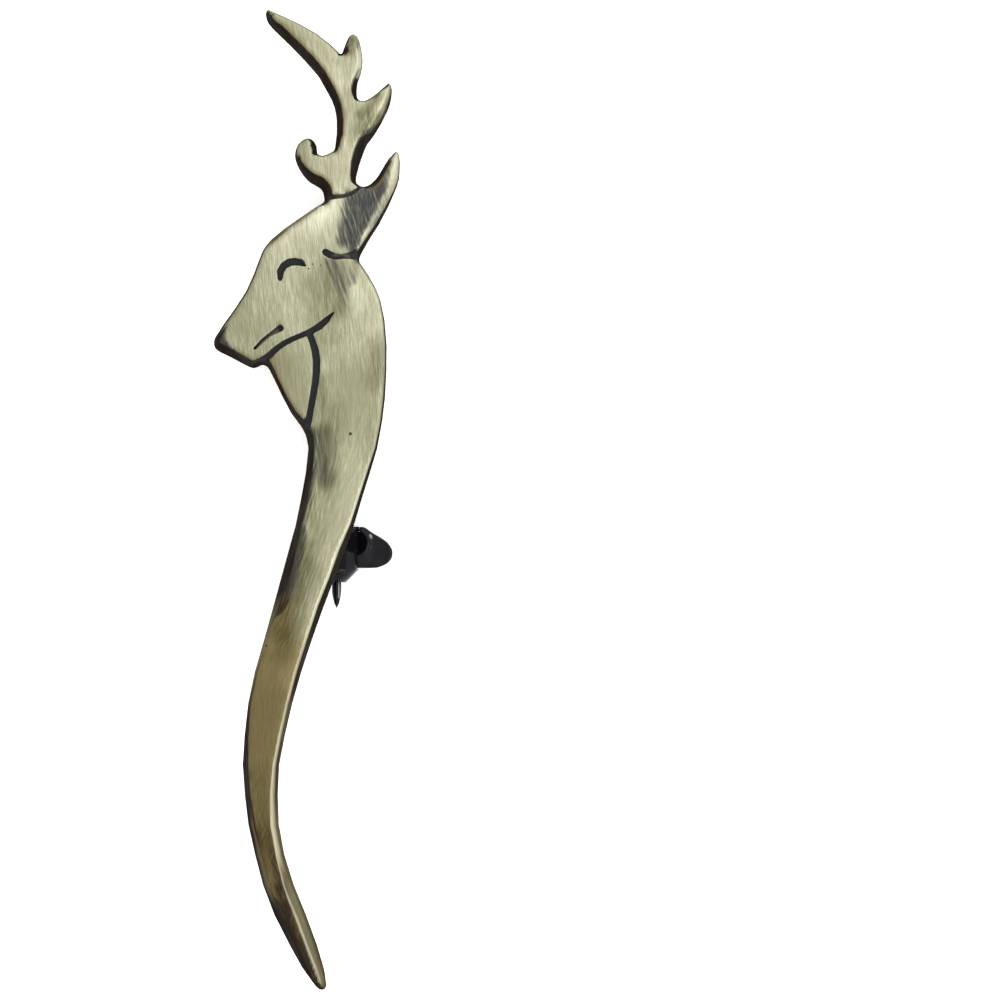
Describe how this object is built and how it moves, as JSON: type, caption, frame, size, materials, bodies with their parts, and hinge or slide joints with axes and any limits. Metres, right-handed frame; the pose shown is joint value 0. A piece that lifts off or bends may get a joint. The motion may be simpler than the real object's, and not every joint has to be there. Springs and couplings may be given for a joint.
{
  "type": "kilt pin",
  "caption": "Stag's head kilt pin with a long tapering neck, a hinged pin stem and a revolving safety catch on its back.",
  "frame": {"origin": "middle of the cast body's outline, on the surface that the pin rests on", "axes": "+Z out of the face, +Y along the neck towards the antler, +X to the right as seen from the front"},
  "size_m": [0.019, 0.1, 0.0077],
  "materials": {
    "antique_brass": "brushed antique brass, darkened in the engraved lines and on the side walls",
    "gunmetal": "black gunmetal plate, half glossy"
  },
  "bodies": {
    "body": {"stag_body": "antique_brass", "hinge_rivet": "gunmetal"},
    "stem": {"pin_stem": "gunmetal"},
    "rotor": {"catch_rotor": "gunmetal"}
  },
  "joints": [
    {"name": "stem_hinge", "type": "hinge", "parent": "body", "child": "stem", "pos_m": [0.00297, 0.02805, 0.0023], "axis": [1, 0, 0], "range_deg": [0, 85]},
    {"name": "catch_turn", "type": "hinge", "parent": "body", "child": "rotor", "pos_m": [0.00297, -0.0052, 0.0023], "axis": [0, 1, 0], "range_deg": [0, 90]}
  ]
}
